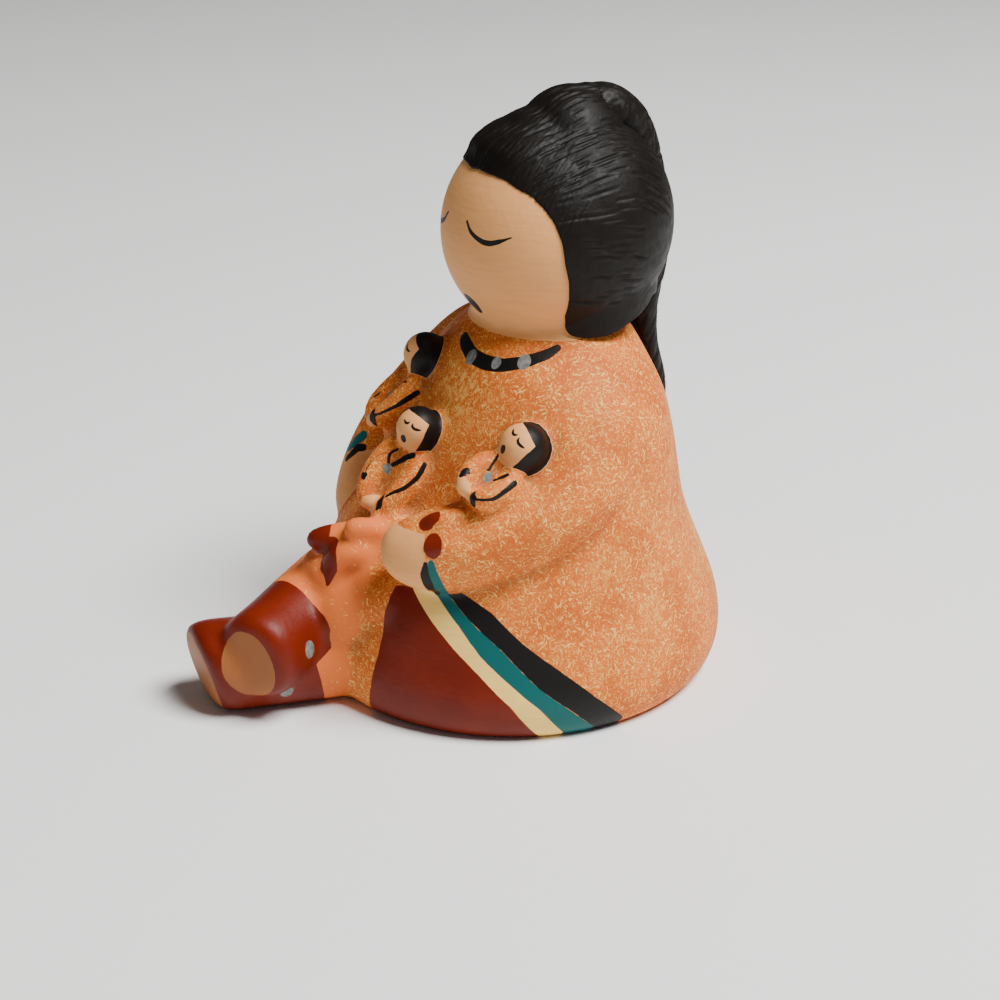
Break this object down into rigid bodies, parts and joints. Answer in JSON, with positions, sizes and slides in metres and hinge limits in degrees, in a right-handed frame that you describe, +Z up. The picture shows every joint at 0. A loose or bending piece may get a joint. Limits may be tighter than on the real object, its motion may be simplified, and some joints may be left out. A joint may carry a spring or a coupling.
{
  "type": "storyteller figure",
  "caption": "Seated storyteller figure in painted fired clay, with crossed legs, a ponytail and an open singing mouth, and small children resting on its arms and lap.",
  "frame": {"origin": "on the flat underside, on the figure's middle plane, below the front of its neck", "axes": "+Z up, -Y the way the face looks, +X towards the figure's own left hand"},
  "size_m": [0.089, 0.1161, 0.122],
  "materials": {
    "painted_clay": "satin terracotta slip with painted details"
  },
  "bodies": {
    "root": {"storyteller_figure": "painted_clay"}
  },
  "joints": []
}
